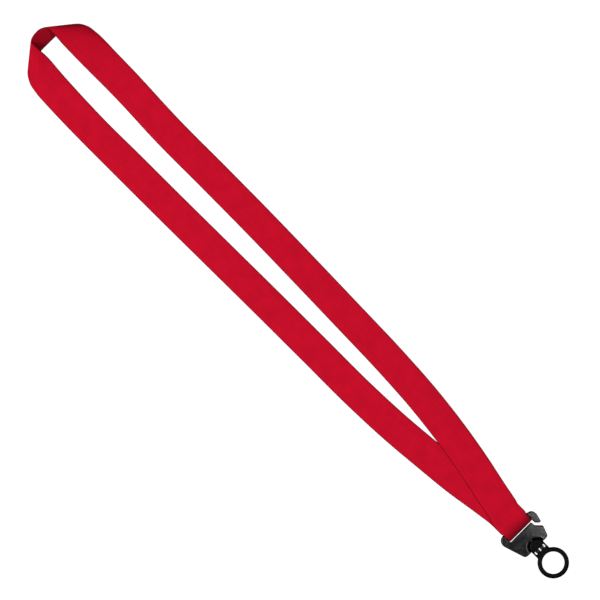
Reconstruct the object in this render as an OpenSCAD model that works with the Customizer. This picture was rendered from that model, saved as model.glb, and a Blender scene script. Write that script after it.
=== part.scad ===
// Neck lanyard: one length of flat webbing sewn into a loop, with a moulded snap clip
// on its fold and a round swivel eye that turns on the clip's split pin.
// Frame: +Z up from the table at z = 0, +Y from the eye towards the strap, +X towards
// the open gate. The origin is under the middle of the clip and the eye together.
// "Clip coordinates" have y = 0 at the lower edge of the strap slot.

/* [Webbing] */
// Width of the webbing
strap_w = 20; // [15:0.5:20]
// Thickness of the webbing
strap_t = 0.9; // [0.6:0.1:0.9]
// Width of the webbing where it is drawn in around the bar
fold_w = 19.5; // [15:0.1:19.5]
// Length of the sewn end, from the fold to the top of the seam
seam_len = 13; // [12:0.5:14]
// Angle that the strap's long axis leans from the clip's axis, in degrees
lean = 0.85; // [0:0.05:1]

/* [Clip] */
// Thickness of the clip's plate
clip_t = 4; // [3.9:0.1:4.6]
// Height of the table side of the strap bar above the table
bar_z = 1.0; // [1:0.05:1.1]
// Thickness of the strap bar
bar_t = 1.9; // [1.6:0.1:1.9]
// Width of the strap bar
bar_w = 4.6; // [4:0.1:4.6]
// Width of the slot between the strap bar and the lobes
slot_w = 1.65; // [1.5:0.05:1.65]
// Radius of the arch that the eye's head turns in
arch_r = 5.5; // [5.4:0.05:5.7]

/* [Split pin] */
// Diameter of the pin's round shaft
pin_d = 2.6; // [2.2:0.1:2.8]
// Gap between the shaft and its bore, on the radius
pin_gap = 0.05; // [0.03:0.01:0.09]
// Width across the two barbs
barb_w = 6.4; // [4.6:0.2:6.6]
// Width of the slit that lets the barbs close
slit_w = 0.7; // [0.6:0.1:1]

/* [Swivel eye] */
// Outer diameter of the ring
ring_od = 19.6; // [18:0.1:19.6]
// Diameter of the ring's opening
ring_id = 13.9; // [12:0.1:14.4]
// Thickness of the ring
ring_t = 2.6; // [2.2:0.1:2.8]
// Radius of the round head inside the arch
head_r = 5.1; // [5:0.05:5.1]
// Thickness of the head
head_t = 3.8; // [3.6:0.1:3.8]
// Width of the neck between the head and the ring
neck_w = 10; // [9:0.2:10]
// Width of the bars beside the neck's window
side_bar = 1.1; // [0.9:0.1:1.2]

/* [Stitching] */
// Number of stitches in a row
stitches = 7; // [3:1:8]
// Length of one stitch
stitch_len = 2.1; // [1.4:0.1:2.2]
// Diameter of the sewing thread
thread_d = 0.4; // [0.3:0.05:0.5]

/* [Hidden] */
$fn = 64;
cut = 1;                                  // how far a cutting shape runs past a face
slot_y = 15.85;                           // the slot in the part's frame
slot_low = -0.35;                         // the lobes' edge of the slot
arch_y = -13.5;                           // centre of the arch, clip coordinates
ring_y = -27.8;                           // centre of the ring, clip coordinates
swivel_z = clip_t / 2;                    // height of the swivel's axis
bore_r = pin_d / 2 + pin_gap;
bar_low = slot_low + slot_w;              // the bar's edge at the slot
bar_high = bar_low + bar_w;
bar_edge = 0.75;                          // rounding of the bar's edges
bar_tip = 0.4;                            // and of its edge at the slot
bar_lip = 0.9;                            // height of the bar's edge at the slot
bar_slope = 2.6;                          // the upper face slopes down to it over this
bar_x = [-10.1, 9.8];                     // the bar runs between these
fold_x = -0.2;                            // middle of the fold on the bar
wrap_open = 0.05;                         // room between the webbing and the bar's faces
wrap_slack = 0.3;                         // and between the fold and the bar's lower edge
fold_y = bar_low - strap_t - wrap_slack;  // outermost line of the fold
fold_top = bar_z + bar_t + wrap_open + strap_t;
step_y = [bar_high + 0.6, bar_high + 2.4]; // the top layer comes down between these
layers_z = 3 * strap_t + 0.1;             // height of the three sewn layers
socket_r = arch_r - 0.3;                  // the arch closes in below the head to this ball
socket_z = 0.4;                           // from this height above the swivel's axis
head_low = -15.1;                         // underside of the head
head_edge = 1.5;                          // rounding of the head's rim
barb_high = -15.25;                       // shoulder of the barbs
barb_low = -17.1;                         // tip of the split pin
tip_w = 6;                                // width across the tip of the split pin
window_low = barb_low - 0.1;              // lower end of the window for the barbs
ring_edge = [0.65, 1.2];                  // rounding of the ring inside and outside
row_gap = 4;                              // distance between the two rows of stitches
row_inset = 1.2;                          // the first row's distance from the seam's top

// Route of the strap's middle along both legs: [offset from the strap's axis,
// distance from the fold, height], and the edges of the loop at the far end.
left_leg = [[-1, 18, 1.35], [-2.8, 30, 0.9], [-6.2, 50, 0.5], [-9.1, 75, 0.5],
    [-11.6, 100, 0.5], [-13.3, 130, 0.5], [-14, 170, 0.5], [-14.7, 210, 0.5],
    [-15.6, 250, 0.5], [-16.5, 290, 0.5], [-17.2, 330, 0.5]];
right_leg = [[15.4, 330, 0.5], [15.9, 290, 0.5], [16.2, 250, 0.5], [16, 210, 0.5],
    [15.6, 170, 0.5], [15, 130, 0.5], [13.5, 100, 0.8], [10.9, 75, 1.5],
    [7.1, 50, 1.55], [3.2, 30, 1.9], [1, 18, 2.35]];
loop_outer = [[-27.7, 370, 0.5], [-27.5, 390, 0.6], [-27.3, 397, 0.8], [-26.8, 404.5, 1],
    [-25.2, 411.6, 1], [-22, 416.4, 0.8], [-15.6, 419.4, 0.6], [-7.6, 420.7, 0.5],
    [0, 420.9, 0.5], [7.6, 420.8, 0.5], [15.6, 419.4, 0.6], [22, 416.4, 0.8],
    [24.8, 412.2, 1], [26.3, 404.5, 1], [26.6, 397, 0.8], [26.5, 390, 0.6],
    [26.4, 370, 0.5]];
loop_inner = [[-7.85, 370, 0.5], [-6.9, 402, 3.4], [-6.15, 414.5, 7.8], [-6.7, 422.6, 12.8],
    [-6.7, 426.8, 15.6], [-5.8, 428.4, 17], [-4, 429.2, 17.7], [-1.8, 429.6, 18],
    [0, 429.7, 18], [1.6, 429.6, 18], [3.4, 429.1, 17.7], [5, 428.1, 17],
    [6.1, 426.4, 15.6], [6.5, 422.2, 12.8], [6.05, 414.5, 8], [5.95, 402, 3.5],
    [6.3, 370, 0.5]];

function unit(v) = v / norm(v);
function mid(a, b) = (a + b) / 2;

// Outline through corners [x, y, radius]: each corner becomes an arc of that radius.
function corner(a, b, c, r, n = 8) =
    let (u = unit(a - b), v = unit(c - b), half = acos(u * v) / 2,
        centre = b + unit(u + v) * r / sin(half),
        from = b + u * r / tan(half) - centre, to = b + v * r / tan(half) - centre,
        a0 = atan2(from.y, from.x), turn = (atan2(to.y, to.x) - a0 + 540) % 360 - 180)
    [for (i = [0:n]) centre + r * [cos(a0 + turn * i / n), sin(a0 + turn * i / n)]];
function flat(p) = [p.x, p.y];
function rounded(pts) = let (n = len(pts))
    [for (i = [0:n - 1]) each pts[i][2] == 0 ? [flat(pts[i])] :
        corner(flat(pts[(i + n - 1) % n]), flat(pts[i]), flat(pts[(i + 1) % n]), pts[i][2])];

// The edge point of a leg's webbing, side = 1 on the left of the way of travel.
function heading(pts, i) = let (d = pts[min(i + 1, len(pts) - 1)] - pts[max(i - 1, 0)])
    unit([d.x, d.y, 0]);
function leg_edge(pts, side) = [for (i = [0:len(pts) - 1]) let (h = heading(pts, i))
    pts[i] + side * strap_w / 2 * [-h.y, h.x, 0]];

// Smooth curve through the points of a list, with one more point between each two.
function curve_mid(p, i) = let (n = len(p), a = p[max(i - 1, 0)], d = p[min(i + 2, n - 1)])
    (9 * (p[i] + p[i + 1]) - a - d) / 16;
function smooth(p) = [for (i = [0:len(p) - 1]) each i == len(p) - 1 ? [p[i]] :
    [p[i], curve_mid(p, i)]];

// From the strap's own axis to the part's frame.
function place(p) = [p.x * cos(lean) + p.y * sin(lean),
    slot_y + fold_y + p.y * cos(lean) - p.x * sin(lean), p.z];
function placed(pts) = [for (p = pts) place(p)];

outer = placed(smooth(concat(leg_edge(left_leg, 1), loop_outer, leg_edge(right_leg, 1))));
inner = placed(smooth(concat(leg_edge(left_leg, -1), loop_inner, leg_edge(right_leg, -1))));

// Half the webbing's thickness, square to its face at ring i.
function lift(i) = let (a = max(i - 1, 0), b = min(i + 1, len(outer) - 1),
        along = mid(outer[b], inner[b]) - mid(outer[a], inner[a]))
    unit(cross(inner[i] - outer[i], along)) * strap_t / 2;

// The neck loop, from the end of the seam's back layer round to its front layer.
module neck_strap() {
    n = len(outer);
    points = [for (i = [0:n - 1]) let (t = lift(i))
        each [outer[i] + t, inner[i] + t, inner[i] - t, outer[i] - t]];
    sides = [for (i = [0:n - 2], k = [0:3]) let (a = 4 * i + k, b = 4 * i + (k + 1) % 4)
        each [[a, b, b + 4], [a, b + 4, a + 4]]];
    ends = [[3, 2, 1], [3, 1, 0], [for (k = [0, 1, 2]) 4 * (n - 1) + k],
        [for (k = [0, 2, 3]) 4 * (n - 1) + k]];
    color([0.74, 0.05, 0.13]) polyhedron(points, concat(sides, ends));
}

// Section of the strap bar: low at the slot, with a face that slopes up from there.
module bar_section() {
    polygon(rounded([[bar_low, bar_z, bar_tip], [bar_low, bar_z + bar_lip, bar_tip],
        [bar_low + bar_slope, bar_z + bar_t, 1.6], [bar_high, bar_z + bar_t, bar_edge],
        [bar_high, bar_z, bar_edge]]));
}

// Section of the fold: three flat layers at the seam, opened out around the bar.
module fold_section() {
    lip_z = bar_z + bar_lip + wrap_slack;
    top_z = bar_z + bar_t + wrap_open;
    difference() {
        polygon(rounded([[fold_y, 0, 1.4], [fold_y, lip_z + strap_t / 2, 1.4],
            [bar_low + bar_slope, fold_top, 2.4], [step_y[0], fold_top, 1.5],
            [step_y[1], layers_z, 1.5],
            [fold_y + seam_len, layers_z, 0], [fold_y + seam_len, 0, 0]]));
        polygon(rounded([[bar_low - wrap_slack, bar_z - wrap_open, 0.5],
            [bar_low - wrap_slack, lip_z, 0.5],
            [bar_low + bar_slope, top_z, 1.6], [bar_high + wrap_open, top_z, bar_edge],
            [bar_high + wrap_open, bar_z - wrap_open, bar_edge]]));
    }
}

// The webbing's sewn end, wrapped around the bar.
module strap_fold() {
    color([0.70, 0.04, 0.11]) translate([fold_x - fold_w / 2, slot_y, 0])
        rotate([90, 0, 90]) linear_extrude(fold_w) fold_section();
}

// One stitch: a thread over the layers, under them, and through them at both ends.
module stitch() {
    for (x = [-1, 1] * (stitch_len - thread_d) / 2)
        translate([x, 0, thread_d / 4]) cylinder(d = thread_d, h = layers_z, $fn = 16);
    for (z = [0, layers_z - thread_d / 4])
        translate([-stitch_len / 2, -thread_d / 2, z])
            cube([stitch_len, thread_d, thread_d / 2]);
}

module seam_stitching() {
    pitch = (fold_w - 2) / stitches;
    first_row = slot_y + fold_y + seam_len - row_inset;
    color([0.60, 0.03, 0.10])
        for (row = [0, 1], i = [0:stitches - 1])
            translate([fold_x + (i - (stitches - 1) / 2) * pitch, first_row - row * row_gap, 0])
                stitch();
}

// The clip's plate seen from above: spine, hook and the two lobes, with the slot and
// the gate between them. The bar itself is added at its own height.
module clip_outline() {
    polygon(rounded([
        [-9.95, -13.7, 2.6], [9.35, -13.75, 2.2], [11.85, -7, 0.7], [8.2, -3.2, 1.6],
        [8, slot_low, 0.5], [-9.7, slot_low, 0.5], [bar_x[0], bar_low, 0.4],
        [bar_x[0], bar_high, 0], [-14.6, bar_high, 4.1], [-14.6, 0.9, 4]]));
}

module hook_outline() {
    polygon(rounded([
        [bar_x[1], bar_high - 0.5, 0], [13.6, bar_high - 0.9, 3.2], [14.1, 0.9, 3],
        [12.8, -4.1, 0.5], [11.6, -4.2, 0.5], [9.5, -2.1, 0.8], [9.4, 0.7, 0.3],
        [bar_x[1], bar_low, 0]]));
}

// A round shaft from the arch with two barbs, slit so that they can close.
module split_pin() {
    barb_t = pin_d - 0.4;
    slit_end = arch_y + 3.5;
    difference() {
        union() {
            translate([0, arch_y + arch_r + cut, 0]) rotate([90, 0, 0])
                cylinder(d = pin_d, h = arch_y + arch_r + cut - barb_high + cut);
            linear_extrude(barb_t, center = true)
                polygon(rounded([[-barb_w / 2, barb_high, 0.25], [barb_w / 2, barb_high, 0.25],
                    [tip_w / 2, barb_low, 0.4], [-tip_w / 2, barb_low, 0.4]]));
        }
        translate([-slit_w / 2, barb_low - cut, -pin_d])
            cube([slit_w, slit_end - barb_low + cut, 2 * pin_d]);
    }
}

// Half section of the space for the head: straight at the top, and closing in below the
// pin's axis under the head like a ball socket.
module arch_section() {
    deep = clip_t / 2;
    first = 5;
    last = asin(deep / socket_r);
    polygon([[0, deep + cut], [arch_r, deep + cut], [arch_r, socket_z],
        for (i = [0:4]) let (a = first + i * (last - first) / 4) socket_r * [cos(a), -sin(a)],
        [socket_r * cos(last), -deep - cut], [0, -deep - cut]]);
}

module clip_body() {
    bar_end = 0.5;
    color([0.13, 0.13, 0.14]) translate([0, slot_y, 0]) {
        difference() {
            linear_extrude(clip_t) {
                clip_outline();
                hook_outline();
            }
            translate([0, arch_y, swivel_z]) rotate_extrude($fn = 96) arch_section();
        }
        translate([bar_x[0] - bar_end, 0, 0]) rotate([90, 0, 90])
            linear_extrude(bar_x[1] - bar_x[0] + 2 * bar_end) bar_section();
        translate([0, 0, swivel_z]) split_pin();
    }
}

// Ring section, with a flat band along the opening.
module ring_section() {
    polygon(rounded([
        [ring_id / 2, -ring_t / 2, ring_edge[0]], [ring_od / 2, -ring_t / 2, ring_edge[1]],
        [ring_od / 2, ring_t / 2, ring_edge[1]], [ring_id / 2, ring_t / 2, ring_edge[0]]]));
}

// Half section of the domed head.
module head_section() {
    polygon(rounded([[0, -head_t / 2, 0], [head_r, -head_t / 2, head_edge],
        [head_r, head_t / 2, head_edge], [0, head_t / 2, 0]]));
}

// Head, neck and ring moulded as one piece.
module swivel_ring() {
    neck_low = ring_y + ring_od / 2 - ring_edge[1];
    neck_high = head_low + 0.5;
    color([0.05, 0.05, 0.05]) translate([0, slot_y, swivel_z]) {
        translate([0, ring_y, 0]) rotate_extrude($fn = 96) ring_section();
        difference() {
            union() {
                intersection() {
                    translate([0, arch_y, 0]) rotate_extrude() head_section();
                    translate([-head_r, head_low, -head_t / 2])
                        cube([2 * head_r, arch_y + head_r - head_low, head_t]);
                }
                translate([-neck_w / 2, neck_low, -ring_t / 2])
                    cube([neck_w, neck_high - neck_low, ring_t]);
            }
            translate([0, arch_y + head_r + cut, 0]) rotate([90, 0, 0])
                cylinder(r = bore_r, h = head_r + cut + arch_y - head_low + cut);
            translate([side_bar - neck_w / 2, window_low, -clip_t])
                cube([neck_w - 2 * side_bar, head_low - window_low, 2 * clip_t]);
            translate([0, ring_y, -clip_t]) cylinder(d = ring_id + 1, h = 2 * clip_t);
        }
    }
}

neck_strap();
strap_fold();
seam_stitching();
clip_body();
swivel_ring();
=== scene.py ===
"""Neck lanyard: red webbing loop, black snap clip on its fold, black swivel eye.

Lengths are in metres and places are in the part's own frame: +Z up from the table, +Y from
the swivel eye towards the strap, +X towards the clip's open gate.
"""

import math

import bmesh
import bpy
import numpy as np
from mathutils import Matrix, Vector, kdtree


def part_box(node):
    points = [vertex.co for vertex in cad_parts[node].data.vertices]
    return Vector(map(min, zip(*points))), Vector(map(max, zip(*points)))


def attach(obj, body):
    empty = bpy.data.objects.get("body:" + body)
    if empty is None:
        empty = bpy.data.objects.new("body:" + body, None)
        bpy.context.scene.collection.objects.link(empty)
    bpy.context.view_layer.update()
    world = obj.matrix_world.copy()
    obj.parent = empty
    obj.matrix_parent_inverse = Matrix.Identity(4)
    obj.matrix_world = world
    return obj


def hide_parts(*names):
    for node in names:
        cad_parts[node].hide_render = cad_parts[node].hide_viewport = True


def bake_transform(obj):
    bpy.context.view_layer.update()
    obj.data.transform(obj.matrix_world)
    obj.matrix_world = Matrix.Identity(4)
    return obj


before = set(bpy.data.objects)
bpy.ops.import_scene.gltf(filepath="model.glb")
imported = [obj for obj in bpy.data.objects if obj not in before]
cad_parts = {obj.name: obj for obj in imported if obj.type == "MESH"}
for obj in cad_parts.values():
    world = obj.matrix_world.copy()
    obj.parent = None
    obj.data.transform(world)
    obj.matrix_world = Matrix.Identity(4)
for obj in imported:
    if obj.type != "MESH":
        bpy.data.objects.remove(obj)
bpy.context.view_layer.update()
MM = 0.001


# ---------------------------------------------------------------------------------------
# Camera: straight above the lanyard, which lies across the picture from corner to corner.
# A long lens keeps both legs of the strap the same width.
# ---------------------------------------------------------------------------------------
LENS = 250
SENSOR = 36
VIEW_WIDTH = 372 * MM
AIM = Vector((4.14, 214.09, 0)) * MM

camera_data = bpy.data.cameras.new("camera")
camera_data.lens = LENS
camera_data.sensor_width = SENSOR
camera_data.clip_end = 50
camera = bpy.data.objects.new("camera", camera_data)
camera.location = AIM + Vector((0, 0, VIEW_WIDTH * LENS / SENSOR))
camera.rotation_euler = (0, 0, -math.pi / 4)
bpy.context.scene.collection.objects.link(camera)
bpy.context.scene.camera = camera
bpy.context.scene.view_settings.view_transform = "Standard"


# ---------------------------------------------------------------------------------------
# Webbing, its route: one length of flat woven polyester, 20 mm wide and 0.9 mm thick. It
# starts inside the seam, runs up the back leg, stands on edge round the far end of the
# loop, comes down the front leg over the clip's bar, and ends behind it in the seam.
# ---------------------------------------------------------------------------------------
STRAP_W = 20 * MM
STRAP_T = 0.9 * MM
FOLD_W = 19.5 * MM
SEAM_W = 20.8 * MM
LEAN = math.radians(0.85)
RING_STEP = 0.45 * MM
SPACING_ROUNDS = 3

fold_low, fold_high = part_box("strap_fold")
fold_x = (fold_low.x + fold_high.x) / 2

# Legs, in mm: offset of the strap's middle from its axis, distance from the fold, height.
LEFT_LEG = [(-1, 18, 1.35), (-2.8, 30, 0.9), (-6.2, 50, 0.5), (-9.1, 75, 0.5),
            (-11.6, 100, 0.5), (-13.3, 130, 0.5), (-14, 170, 0.5), (-14.7, 210, 0.5),
            (-15.6, 250, 0.5), (-16.5, 290, 0.5), (-17.2, 330, 0.5)]
RIGHT_LEG = [(15.4, 330, 0.5), (15.9, 290, 0.5), (16.2, 250, 0.5), (16, 210, 0.5),
             (15.6, 170, 0.5), (15, 130, 0.5), (13.5, 100, 0.8), (10.9, 75, 1.5),
             (7.1, 50, 1.55), (3.2, 30, 1.9), (1, 18, 2.35)]

# Far end of the loop: the edge that stays on the table, and the edge that stands up.
LOOP_OUTER = [(-27.7, 370, 0.5), (-27.5, 390, 0.6), (-27.3, 397, 0.8), (-26.8, 404.5, 1),
              (-25.2, 411.6, 1), (-22, 416.4, 0.8), (-15.6, 419.4, 0.6), (-7.6, 420.7, 0.5),
              (0, 420.9, 0.5), (7.6, 420.8, 0.5), (15.6, 419.4, 0.6), (22, 416.4, 0.8),
              (24.8, 412.2, 1), (26.3, 404.5, 1), (26.6, 397, 0.8), (26.5, 390, 0.6),
              (26.4, 370, 0.5)]
LOOP_INNER = [(-7.85, 370, 0.5), (-6.9, 402, 3.4), (-6.15, 414.5, 7.8), (-6.7, 422.6, 12.8),
              (-6.7, 426.8, 15.6), (-5.8, 428.4, 17), (-4, 429.2, 17.7), (-1.8, 429.6, 18),
              (0, 429.7, 18), (1.6, 429.6, 18), (3.4, 429.1, 17.7), (5, 428.1, 17),
              (6.1, 426.4, 15.6), (6.5, 422.2, 12.8), (6.05, 414.5, 8), (5.95, 402, 3.5),
              (6.3, 370, 0.5)]

# The sewn end, in mm: distance from the fold, height. The back leg's end lies between the
# other two layers, and the front layer goes down the bar's slope and round its edge. The
# webbing is drawn in on the bar and widens again just above it.
WIDENS_FROM = 5.6 * MM
WIDENS_OVER = 0.9 * MM
WIDENS_SHIFT = 0.1 * MM
BACK_END = [(7.8, 1.38), (10.5, 1.38), (13, 1.38)]
FRONT_LAYER = [(13, 2.33), (10.5, 2.37), (8.8, 2.65), (7.4, 3.15), (5.8, 3.4), (4.9, 3.4),
               (3.6, 3.27), (2.6, 2.95), (1.65, 2.56), (0.95, 2.1), (0.56, 1.6), (0.45, 1.15),
               (0.66, 0.72), (1.2, 0.49), (2, 0.45), (4, 0.45), (9, 0.45), (12.8, 0.45)]


def place(points):
    """From the strap's own axis in mm, which leans towards the gate, to the frame."""
    p = np.array(points, float) * MM
    turn = np.array([[math.cos(LEAN), -math.sin(LEAN)], [math.sin(LEAN), math.cos(LEAN)]])
    p[:, :2] = p[:, :2] @ turn
    p[:, 1] += fold_low.y
    return p


def leg_edges(points):
    """The two edges of a leg, square to its direction, from the points of its middle."""
    p = np.array(points, float)
    ahead = np.gradient(p[:, :2], axis=0)
    ahead /= np.linalg.norm(ahead, axis=1)[:, None]
    side = np.stack([-ahead[:, 1], ahead[:, 0], np.zeros(len(p))], axis=1)
    half = STRAP_W / MM / 2
    return place(p + half * side), place(p - half * side)


def sewn_edges(points, way):
    """The two edges of the sewn end, which widens above the bar. way is 1 going up."""
    d, z = np.array(points, float).T * MM
    free = np.clip((d - WIDENS_FROM) / WIDENS_OVER, 0, 1)
    middle = fold_x + free * WIDENS_SHIFT
    half = (FOLD_W + free * (SEAM_W - FOLD_W)) / 2
    y = fold_low.y + d
    return np.stack([middle - way * half, y, z], 1), np.stack([middle + way * half, y, z], 1)


def curve_through(points, at, samples):
    """Smooth curve through points given at the values at, read at samples."""
    slope = np.gradient(points, at, axis=0)
    k = np.clip(np.searchsorted(at, samples, side="right") - 1, 0, len(at) - 2)
    span = (at[k + 1] - at[k])[:, None]
    t = (samples - at[k])[:, None] / span
    return ((2 * t**3 - 3 * t**2 + 1) * points[k] + (t**3 - 2 * t**2 + t) * span * slope[k]
            + (3 * t**2 - 2 * t**3) * points[k + 1] + (t**3 - t**2) * span * slope[k + 1])


runs = [sewn_edges(BACK_END, 1), leg_edges(LEFT_LEG), (place(LOOP_OUTER), place(LOOP_INNER)),
        leg_edges(RIGHT_LEG), sewn_edges(FRONT_LAYER, -1)]
outer_edge = np.concatenate([run[0] for run in runs])
inner_edge = np.concatenate([run[1] for run in runs])
for _ in range(SPACING_ROUNDS):
    strap_middle = (outer_edge + inner_edge) / 2
    steps = np.linalg.norm(np.diff(strap_middle, axis=0), axis=1)
    passed = np.concatenate([[0], np.cumsum(steps)])
    along = np.linspace(0, passed[-1], int(passed[-1] / RING_STEP))
    outer_edge = curve_through(outer_edge, passed, along)
    inner_edge = curve_through(inner_edge, passed, along)
strap_middle = (outer_edge + inner_edge) / 2
fold_at = float(along[np.argmin(strap_middle[:, 1])])


# ---------------------------------------------------------------------------------------
# Webbing, its shape: a flat ribbon with rounded selvedges that bulge a little where each
# weft pick turns back. Its map holds millimetres across and along for the weave.
# ---------------------------------------------------------------------------------------
SELVEDGE_PITCH = 1.8 * MM
SELVEDGE_BULGE = 0.02 * MM
SELVEDGE_FROM = 0.9
SECTION_POWER = 12
EDGE_STATIONS = [0.3, 0.6, 0.82, 0.93, 0.975, 0.995]


def link(name, mesh):
    """A new object in the scene from a mesh."""
    piece = bpy.data.objects.new(name, mesh)
    bpy.context.scene.collection.objects.link(piece)
    return piece


def webbing_mesh():
    """The ribbon, one ring of corners for each step along it, with both ends closed."""
    station = np.array([-1, *[-s for s in reversed(EDGE_STATIONS)], 0, *EDGE_STATIONS, 1])
    rise = STRAP_T / 2 * np.sqrt(1 - np.abs(station) ** SECTION_POWER)
    u = np.concatenate([station, station[-2:0:-1]])
    h = np.concatenate([rise, -rise[-2:0:-1]])
    bulge = 1 + SELVEDGE_BULGE / (STRAP_W / 2) * np.cos(2 * math.pi * along / SELVEDGE_PITCH)
    half = (outer_edge - inner_edge) / 2
    face = np.cross(half, np.gradient(strap_middle, axis=0))
    face /= np.linalg.norm(face, axis=1)[:, None]
    reach = u[None] * np.where(np.abs(u)[None] > SELVEDGE_FROM, bulge[:, None], 1)
    points = strap_middle[:, None] - half[:, None] * reach[..., None]
    points = points + face[:, None] * h[None, :, None]
    rings, around = len(along), len(u)
    start = np.arange(rings - 1)[:, None] * around
    k = np.arange(around)[None]
    after = (k + 1) % around
    quads = np.stack([start + k, start + after, start + around + after, start + around + k], -1)
    last = (rings - 1) * around
    ends = [list(range(around))[::-1], list(range(last, last + around))]
    mesh = bpy.data.meshes.new("webbing")
    mesh.from_pydata(points.reshape(-1, 3).tolist(), [], [*quads.reshape(-1, 4).tolist(), *ends])
    weave = np.stack([np.tile(u * STRAP_W / 2, rings), np.repeat(along, around)], 1) / MM
    corner = np.zeros(len(mesh.loops), int)
    mesh.loops.foreach_get("vertex_index", corner)
    mesh.uv_layers.new(name="weave").data.foreach_set("uv", weave[corner].ravel())
    mesh.shade_smooth()
    return mesh


webbing = link("webbing", webbing_mesh())


# ---------------------------------------------------------------------------------------
# Webbing, its finish: dyed polyester in a plain weave of 0.6 mm warp ends and 0.45 mm weft
# picks. Ends differ slightly in shade. The gaps between yarns are darkened with painted
# shade, a painted dark outline of shade runs along both edges, and the webbing round the
# bar is darkened with painted shade where the fold turns away from the light.
# ---------------------------------------------------------------------------------------
# The darker webbing colour holds both the yarns' darker dye and painted shade in the gaps
# between yarns.
WEBBING_RED = (0.6, 0.0026, 0.0215, 1)
WEBBING_DARK_TONE_AND_GAP_SHADE = (0.36, 0.001, 0.013, 1)
EDGE_SHADE_RED = (0.18, 0.0008, 0.007, 1)
FOLD_SHADE_RED = (0.06, 0.0005, 0.004, 1)
WARP_PITCH = 0.6
WEFT_PITCH = 0.45
WARP_OFFSET = 100
WEAVE_DEPTH = 0.07 * MM
EDGE_SHADE_BAND = (9.3, 9.8)
FOLD_SHADE_BAND = (-3.5, 11)


class Wire:
    """A node socket that Python's operators turn into Math nodes."""

    def __init__(self, tree, socket):
        self.tree = tree
        self.socket = socket

    def add(self, kind, settings=None, **values):
        """Another node of this tree, with its settings and the values of its inputs.

        An input is named with _ for each space, or by its number, as in i0.
        """
        node = self.tree.nodes.new(kind)
        for name, value in (settings or {}).items():
            setattr(node, name, value)
        for name, value in values.items():
            key = int(name[1:]) if name[1:].isdigit() else name.replace("_", " ")
            if isinstance(value, Wire):
                self.tree.links.new(value.socket, node.inputs[key])
            else:
                node.inputs[key].default_value = value
        return node

    def math(self, operation, *others, swap=False):
        """A Math node on this value. swap puts it second."""
        pair = (*others, self) if swap else (self, *others)
        values = {f"i{k}": value for k, value in enumerate(pair)}
        node = self.add("ShaderNodeMath", {"operation": operation}, **values)
        return Wire(self.tree, node.outputs[0])

    def __add__(self, other):
        return self.math("ADD", other)

    def __sub__(self, other):
        return self.math("SUBTRACT", other)

    def __rsub__(self, other):
        return self.math("SUBTRACT", other, swap=True)

    def __mul__(self, other):
        return self.math("MULTIPLY", other)

    def __truediv__(self, other):
        return self.math("DIVIDE", other)

    def __mod__(self, other):
        return self.math("FLOORED_MODULO", other)

    def __abs__(self):
        return self.math("ABSOLUTE")

    __radd__ = __add__
    __rmul__ = __mul__

    def ramp(self, low, high):
        """0 below low, 1 above high, smooth between."""
        settings = {"interpolation_type": "SMOOTHSTEP"}
        node = self.add("ShaderNodeMapRange", settings, Value=self, From_Min=low, From_Max=high)
        return Wire(self.tree, node.outputs["Result"])

    def mix(self, low, high):
        """Between two colours or two numbers, by this value."""
        tone = isinstance(low, tuple) or isinstance(low, Wire) and low.socket.type == "RGBA"
        if tone:
            node = self.add("ShaderNodeMix", {"data_type": "RGBA"}, i0=self, i6=low, i7=high)
        else:
            node = self.add("ShaderNodeMix", {"data_type": "FLOAT"}, i0=self, i2=low, i3=high)
        return Wire(self.tree, node.outputs[2 if tone else 0])

    def noise(self, scale, detail=2, stretch=(1, 1, 1)):
        """Noise from 0 to 1 over this vector."""
        mapping = self.add("ShaderNodeMapping", Vector=self, Scale=stretch)
        spot = Wire(self.tree, mapping.outputs[0])
        node = self.add("ShaderNodeTexNoise", Vector=spot, Scale=scale, Detail=detail)
        return Wire(self.tree, node.outputs[0])


def new_material(name):
    """A material with its shader and a source of coordinates."""
    material = bpy.data.materials.new(name)
    material.use_nodes = True
    tree = material.node_tree
    shader = tree.nodes["Principled BSDF"]
    coordinates = tree.nodes.new("ShaderNodeTexCoord")
    return material, tree, shader, coordinates


def bump(tree, shader, height, depth, strength):
    """Relief of the given depth in metres on a shader."""
    node = height.add("ShaderNodeBump", Height=height, Distance=depth, Strength=strength)
    tree.links.new(node.outputs[0], shader.inputs["Normal"])


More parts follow.
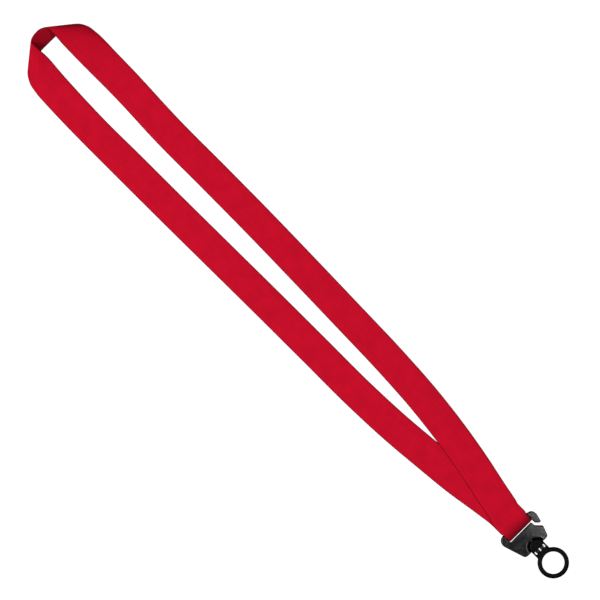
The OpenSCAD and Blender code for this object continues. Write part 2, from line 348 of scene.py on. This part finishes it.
def webbing_material():
    """Plain weave on the map of the webbing, where X runs across it and Y along it."""
    material, tree, shader, coordinates = new_material("red_webbing")
    weave = Wire(tree, coordinates.outputs["UV"])
    split = weave.add("ShaderNodeSeparateXYZ", Vector=weave)
    across = Wire(tree, split.outputs["X"])
    down = Wire(tree, split.outputs["Y"])
    end = across / WARP_PITCH + WARP_OFFSET
    pick = down / WEFT_PITCH
    end_round = abs((end * math.pi).math("SINE"))
    pick_round = abs((pick * math.pi).math("SINE"))
    under = (end.math("FLOOR") + pick.math("FLOOR")) % 2
    warp_top = end_round * (pick_round * 0.45 + 0.55)
    weft_top = pick_round * (end_round * 0.3 + 0.35)
    relief = under.mix(warp_top, weft_top)
    shade_of_end = weave.noise(1, 1, stretch=(1.4, 0.012, 1))
    cloudy = weave.noise(0.12, 3)
    fibre = weave.noise(9, 2, stretch=(1, 0.35, 1))
    # Painted shade: the weave's relief darkens the gaps between yarns, mixed with the yarns' own
    # random tone.
    depth = (relief * 0.42 + shade_of_end * 0.3 + cloudy * 0.45 + fibre * 0.2 - 0.16).ramp(0, 1)
    yarn = depth.mix(WEBBING_DARK_TONE_AND_GAP_SHADE, WEBBING_RED)
    # Painted shade: a dark outline along both edges of the webbing, standing in for the shade at
    # its edges.
    edge_shade = abs(across).ramp(*EDGE_SHADE_BAND)
    # Painted shade: the webbing darkens towards the fold round the bar, where it turns away from
    # the light.
    fold_shade = 1 - abs(down - fold_at / MM).ramp(*FOLD_SHADE_BAND)
    tone = fold_shade.mix(edge_shade.mix(yarn, EDGE_SHADE_RED), FOLD_SHADE_RED)
    tree.links.new(tone.socket, shader.inputs["Base Color"])
    tree.links.new((0.86 - relief * 0.14).socket, shader.inputs["Roughness"])
    shader.inputs["Specular IOR Level"].default_value = 0.06
    shader.inputs["Sheen Weight"].default_value = 0.06
    shader.inputs["Sheen Roughness"].default_value = 0.45
    shader.inputs["Sheen Tint"].default_value = (1, 0.25, 0.3, 1)
    bump(tree, shader, relief + fibre * 0.25, WEAVE_DEPTH, 0.55)
    return material


webbing.data.materials.append(webbing_material())

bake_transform(webbing)
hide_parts("neck_strap", "strap_fold")


# ---------------------------------------------------------------------------------------
# Seam stitching: bonded polyester thread in two lockstitch rows across the three layers,
# each stitch a short arch that dips into the webbing at both ends, above and below.
# ---------------------------------------------------------------------------------------
THREAD_D = 0.4 * MM
STITCH_LEN = 2.1 * MM
STITCH_ARCH = 0.22 * MM
STITCHES = 7
ROWS = 2
PLY_PITCH = 0.55 * MM
PLY_SLANT = 1.6
THREAD_GROOVE_SHADE = (0.42, 0.0015, 0.013, 1)
THREAD_LIGHT = (0.62, 0.003, 0.022, 1)
SEAM_HEIGHT = 2.8 * MM

stitch_low, stitch_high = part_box("seam_stitching")
row_gap = stitch_high.y - stitch_low.y - THREAD_D
stitch_pitch = (stitch_high.x - stitch_low.x - STITCH_LEN) / (STITCHES - 1)


def thread_material():
    """Twisted thread, with painted shade in the grooves between its plies."""
    material, tree, shader, coordinates = new_material("red_thread")
    spot = Wire(tree, coordinates.outputs["Object"])
    split = spot.add("ShaderNodeSeparateXYZ", Vector=spot)
    slant = Wire(tree, split.outputs["X"]) + Wire(tree, split.outputs["Y"]) * PLY_SLANT
    ply = (slant * (2 * math.pi / PLY_PITCH)).math("SINE") * 0.5 + 0.5
    # Painted shade: the grooves between plies are darker than the ply crests.
    tone = ply.mix(THREAD_GROOVE_SHADE, THREAD_LIGHT)
    tree.links.new(tone.socket, shader.inputs["Base Color"])
    tree.links.new((0.7 - ply * 0.2).socket, shader.inputs["Roughness"])
    shader.inputs["Specular IOR Level"].default_value = 0.05
    bump(tree, shader, ply, 0.05 * MM, 0.8)
    return material


def stitching_tree():
    """Rows of stitches on both faces of the seam, in one node tree."""
    tree = bpy.data.node_groups.new("stitching", "GeometryNodeTree")
    tree.interface.new_socket("Geometry", in_out="OUTPUT", socket_type="NodeSocketGeometry")
    sizes = {"First stitch": "NodeSocketVector", "Stitch pitch": "NodeSocketFloat",
             "Row gap": "NodeSocketFloat", "Stitch length": "NodeSocketFloat",
             "Arch": "NodeSocketFloat", "Thread radius": "NodeSocketFloat",
             "Stitches": "NodeSocketInt", "Rows": "NodeSocketInt", "Depth": "NodeSocketFloat",
             "Thread": "NodeSocketMaterial"}
    for name, kind in sizes.items():
        tree.interface.new_socket(name, in_out="INPUT", socket_type=kind)
    source = tree.nodes.new("NodeGroupInput")
    given = {name: Wire(tree, source.outputs[name]) for name in sizes}

    def add(kind, **values):
        """The first output of a new node, with its inputs named as in Wire.add."""
        return Wire(tree, Wire(tree, None).add(kind, **values).outputs[0])

    def vector(**parts):
        return add("ShaderNodeCombineXYZ", **parts)

    half = given["Stitch length"] * 0.5
    back = given["Stitch length"] * -0.5
    dip = given["Thread radius"] * -2
    top = given["Arch"] * 2
    arch = add("GeometryNodeCurveQuadraticBezier", Resolution=10,
               Start=vector(X=back, Z=dip), Middle=vector(Z=top), End=vector(X=half, Z=dip))
    section = add("GeometryNodeCurvePrimitiveCircle", Resolution=8,
                  Radius=given["Thread radius"])
    stitch = add("GeometryNodeCurveToMesh", Curve=arch, Profile_Curve=section, Fill_Caps=True)
    line = add("GeometryNodeMeshLine", Count=given["Stitches"],
               Start_Location=given["First stitch"], Offset=vector(X=given["Stitch pitch"]))
    row = add("GeometryNodeInstanceOnPoints", Points=line, Instance=stitch)
    rows = add("GeometryNodeMeshLine", Count=given["Rows"], Offset=vector(Y=given["Row gap"]))
    upper = add("GeometryNodeInstanceOnPoints", Points=rows, Instance=row)
    lower = add("GeometryNodeTransform", Geometry=upper, Scale=(1, 1, -1),
                Translation=vector(Z=given["Depth"]))
    join = tree.nodes.new("GeometryNodeJoinGeometry")
    tree.links.new(upper.socket, join.inputs[0])
    tree.links.new(lower.socket, join.inputs[0])
    solid = add("GeometryNodeRealizeInstances", Geometry=Wire(tree, join.outputs[0]))
    finished = add("GeometryNodeSetMaterial", Geometry=solid, Material=given["Thread"])
    tree.links.new(finished.socket, tree.nodes.new("NodeGroupOutput").inputs[0])
    return tree


def applied(name, tree, values):
    """The plain mesh that a node tree makes from named input values."""
    carrier = link(name + "_carrier", bpy.data.meshes.new(name + "_carrier"))
    modifier = carrier.modifiers.new("nodes", "NODES")
    modifier.node_group = tree
    for item in tree.interface.items_tree:
        if item.in_out == "INPUT":
            modifier[item.identifier] = values[item.name]
    ready = carrier.evaluated_get(bpy.context.evaluated_depsgraph_get())
    mesh = bpy.data.meshes.new_from_object(ready)
    bpy.data.objects.remove(carrier)
    edit = bmesh.new()
    edit.from_mesh(mesh)
    bmesh.ops.recalc_face_normals(edit, faces=edit.faces)
    edit.to_mesh(mesh)
    edit.free()
    mesh.shade_smooth()
    return link(name, mesh)


first_x = stitch_low.x + STITCH_LEN / 2
first_y = stitch_low.y + THREAD_D / 2
stitching = applied("stitching", stitching_tree(), {
    "First stitch": Vector((first_x, first_y, SEAM_HEIGHT)), "Stitch pitch": stitch_pitch,
    "Row gap": row_gap, "Stitch length": STITCH_LEN, "Arch": STITCH_ARCH,
    "Thread radius": THREAD_D / 2, "Stitches": STITCHES, "Rows": ROWS, "Depth": SEAM_HEIGHT,
    "Thread": thread_material()})
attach(stitching, "clip")
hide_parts("seam_stitching")


# ---------------------------------------------------------------------------------------
# Clip: one acetal moulding with the strap bar, the open gate, the two lobes, the arch and
# the split pin. Every edge is rounded, the lobes are crowned, and the skin has a fine matt
# grain. An edge is found by the upright walls halfway up the plate.
# ---------------------------------------------------------------------------------------
CLIP_VOXEL = 0.14 * MM
CLIP_CROWN = 1 * MM
CROWN_BEND = 0.35
CLIP_ROLL = 0.75 * MM
ARCH_MIDDLE = (0, 2.35 * MM)
BEAD_RADIUS = 6.2 * MM
BEAD_WIDTH = 0.45 * MM
BEAD_HEIGHT = 0.1 * MM
CLIP_BLACK = (0.003, 0.003, 0.0031, 1)
CLIP_GREY = (0.0155, 0.0155, 0.0157, 1)
MERGE_DIST = 0.002 * MM
SMOOTH_FACTOR = 0.5
SMOOTH_ROUNDS = 3
WALL_TURN = 0.3
WALL_BAND = (0.3, 0.7)
FACE_FADE = 0.25

clip_low, clip_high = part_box("clip_body")


def moulded_copy(name, node, voxel):
    """A node's solid as one closed skin with rounded edges."""
    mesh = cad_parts[node].data.copy()
    edit = bmesh.new()
    edit.from_mesh(mesh)
    bmesh.ops.remove_doubles(edit, verts=edit.verts, dist=MERGE_DIST)
    edit.to_mesh(mesh)
    edit.free()
    mesh.materials.clear()
    rough = link(name + "_rough", mesh)
    remesh = rough.modifiers.new("remesh", "REMESH")
    remesh.mode = "VOXEL"
    remesh.voxel_size = voxel
    smooth = rough.modifiers.new("smooth", "SMOOTH")
    smooth.factor = SMOOTH_FACTOR
    smooth.iterations = SMOOTH_ROUNDS
    ready = rough.evaluated_get(bpy.context.evaluated_depsgraph_get())
    skin = bpy.data.meshes.new_from_object(ready)
    bpy.data.objects.remove(rough)
    skin.shade_smooth()
    return link(name, skin)


def shape_upper_face(piece, low, high):
    """Crown the clip's upper face, roll its edges, and raise the bead round the arch."""
    points = piece.data.vertices
    spots = np.zeros(len(points) * 3)
    normals = np.zeros(len(points) * 3)
    points.foreach_get("co", spots)
    points.foreach_get("normal", normals)
    spots = spots.reshape(-1, 3)
    height = spots[:, 2] / high.z
    upright = np.abs(normals.reshape(-1, 3)[:, 2]) < WALL_TURN
    walls = spots[upright & (height > WALL_BAND[0]) & (height < WALL_BAND[1])]
    near = kdtree.KDTree(len(walls))
    for k, (x, y, _) in enumerate(walls):
        near.insert((x, y, 0), k)
    near.balance()
    share = np.clip((height - WALL_BAND[1]) / FACE_FADE, 0, 1)
    for k in np.flatnonzero(share):
        x, y, _ = spots[k]
        side = (x - (low.x + high.x) / 2) / ((high.x - low.x) / 2)
        inside = min(near.find((x, y, 0))[2], CLIP_ROLL)
        roll = CLIP_ROLL - math.sqrt(CLIP_ROLL**2 - (CLIP_ROLL - inside) ** 2)
        off_bead = (math.dist((x, y), ARCH_MIDDLE) - BEAD_RADIUS) / BEAD_WIDTH
        fall = CLIP_CROWN * (math.hypot(side, CROWN_BEND) - CROWN_BEND)
        spots[k, 2] -= share[k] * (fall + roll - BEAD_HEIGHT * math.exp(-off_bead**2))
    points.foreach_set("co", spots.ravel())


def clip_material():
    """Moulded black plastic with a fine grain, uneven gloss and long faint scuffs."""
    material, tree, shader, coordinates = new_material("black_clip_plastic")
    spot = Wire(tree, coordinates.outputs["Object"])
    grain = spot.noise(2600, 3)
    cloud = spot.noise(260, 3).ramp(0.36, 0.64)
    scuff = spot.noise(500, 4, stretch=(1, 5, 1)).ramp(0.56, 0.72)
    tone = (cloud * 0.7 + grain * 0.3).mix(CLIP_BLACK, CLIP_GREY)
    tree.links.new(tone.socket, shader.inputs["Base Color"])
    rough = 0.23 + grain * 0.06 + cloud * 0.04 - scuff * 0.05
    tree.links.new(rough.socket, shader.inputs["Roughness"])
    shader.inputs["Specular IOR Level"].default_value = 0.26
    bump(tree, shader, grain * 0.7 + cloud * 0.7, 0.03 * MM, 0.6)
    return material


clip = moulded_copy("clip", "clip_body", CLIP_VOXEL)
shape_upper_face(clip, clip_low, clip_high)
clip.data.materials.append(clip_material())
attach(clip, "clip")
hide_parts("clip_body")


# ---------------------------------------------------------------------------------------
# Swivel eye: one deeper black moulding, with the round head that turns in the arch, the
# neck with its window for the barbs, and the ring that a hook or key ring hangs from.
# ---------------------------------------------------------------------------------------
RING_VOXEL = 0.16 * MM
RING_BLACK = (0.0004, 0.0004, 0.0005, 1)
RING_GREY = (0.0015, 0.0015, 0.0016, 1)


def ring_material():
    """The eye's deeper black plastic."""
    material, tree, shader, coordinates = new_material("black_ring_plastic")
    spot = Wire(tree, coordinates.outputs["Object"])
    grain = spot.noise(1800, 2)
    cloud = spot.noise(220, 3)
    tone = cloud.mix(RING_BLACK, RING_GREY)
    tree.links.new(tone.socket, shader.inputs["Base Color"])
    tree.links.new((0.34 + cloud * 0.12).socket, shader.inputs["Roughness"])
    shader.inputs["Specular IOR Level"].default_value = 0.05
    bump(tree, shader, grain * 0.4 + cloud, 0.02 * MM, 0.4)
    return material


ring = moulded_copy("ring", "swivel_ring", RING_VOXEL)
ring.data.materials.append(ring_material())
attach(ring, "ring")
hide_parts("swivel_ring")


# ---------------------------------------------------------------------------------------
# Studio: a white lit table, one broad soft light on the left beyond the loop, a small one
# on the gate's side for the sheen on the clip, and a dim room that nothing mirrors.
# ---------------------------------------------------------------------------------------
TABLE_HALF = 3
TABLE_GREY = 0.1
TABLE_GLOW = 0.98
ROOM_STRENGTH = 0.25


def lamp(name, power, size, place_at, aim_at):
    """A soft rectangular light."""
    data = bpy.data.lights.new(name, "AREA")
    data.shape = "RECTANGLE"
    data.size, data.size_y = size
    data.energy = power
    light = bpy.data.objects.new(name, data)
    light.location = place_at
    way = Vector(aim_at) - Vector(place_at)
    light.rotation_euler = way.to_track_quat("-Z", "Y").to_euler()
    bpy.context.scene.collection.objects.link(light)


lamp("broad_light", power=34, size=(0.8, 0.8), place_at=(-0.85, 0.62, 1.55),
     aim_at=(0, 0.22, 0))
lamp("clip_light", power=8.5, size=(0.35, 0.3), place_at=(0.46, -0.15, 1.5), aim_at=(0, 0, 0))

world = bpy.data.worlds.new("room")
world.use_nodes = True
world.node_tree.nodes["Background"].inputs["Strength"].default_value = ROOM_STRENGTH
world.cycles_visibility.glossy = False
bpy.context.scene.world = world

table_mesh = bpy.data.meshes.new("table")
corners = [(x * TABLE_HALF, y * TABLE_HALF, 0) for x, y in ((-1, -1), (1, -1), (1, 1), (-1, 1))]
table_mesh.from_pydata(corners, [], [(0, 1, 2, 3)])
table = link("table", table_mesh)
table_material, _, table_shader, _ = new_material("white_table")
table_shader.inputs["Base Color"].default_value = (*[TABLE_GREY] * 3, 1)
table_shader.inputs["Roughness"].default_value = 0.9
table_shader.inputs["Emission Color"].default_value = (1, 1, 1, 1)
table_shader.inputs["Emission Strength"].default_value = TABLE_GLOW
table_mesh.materials.append(table_material)
table.visible_diffuse = False
table.visible_glossy = False
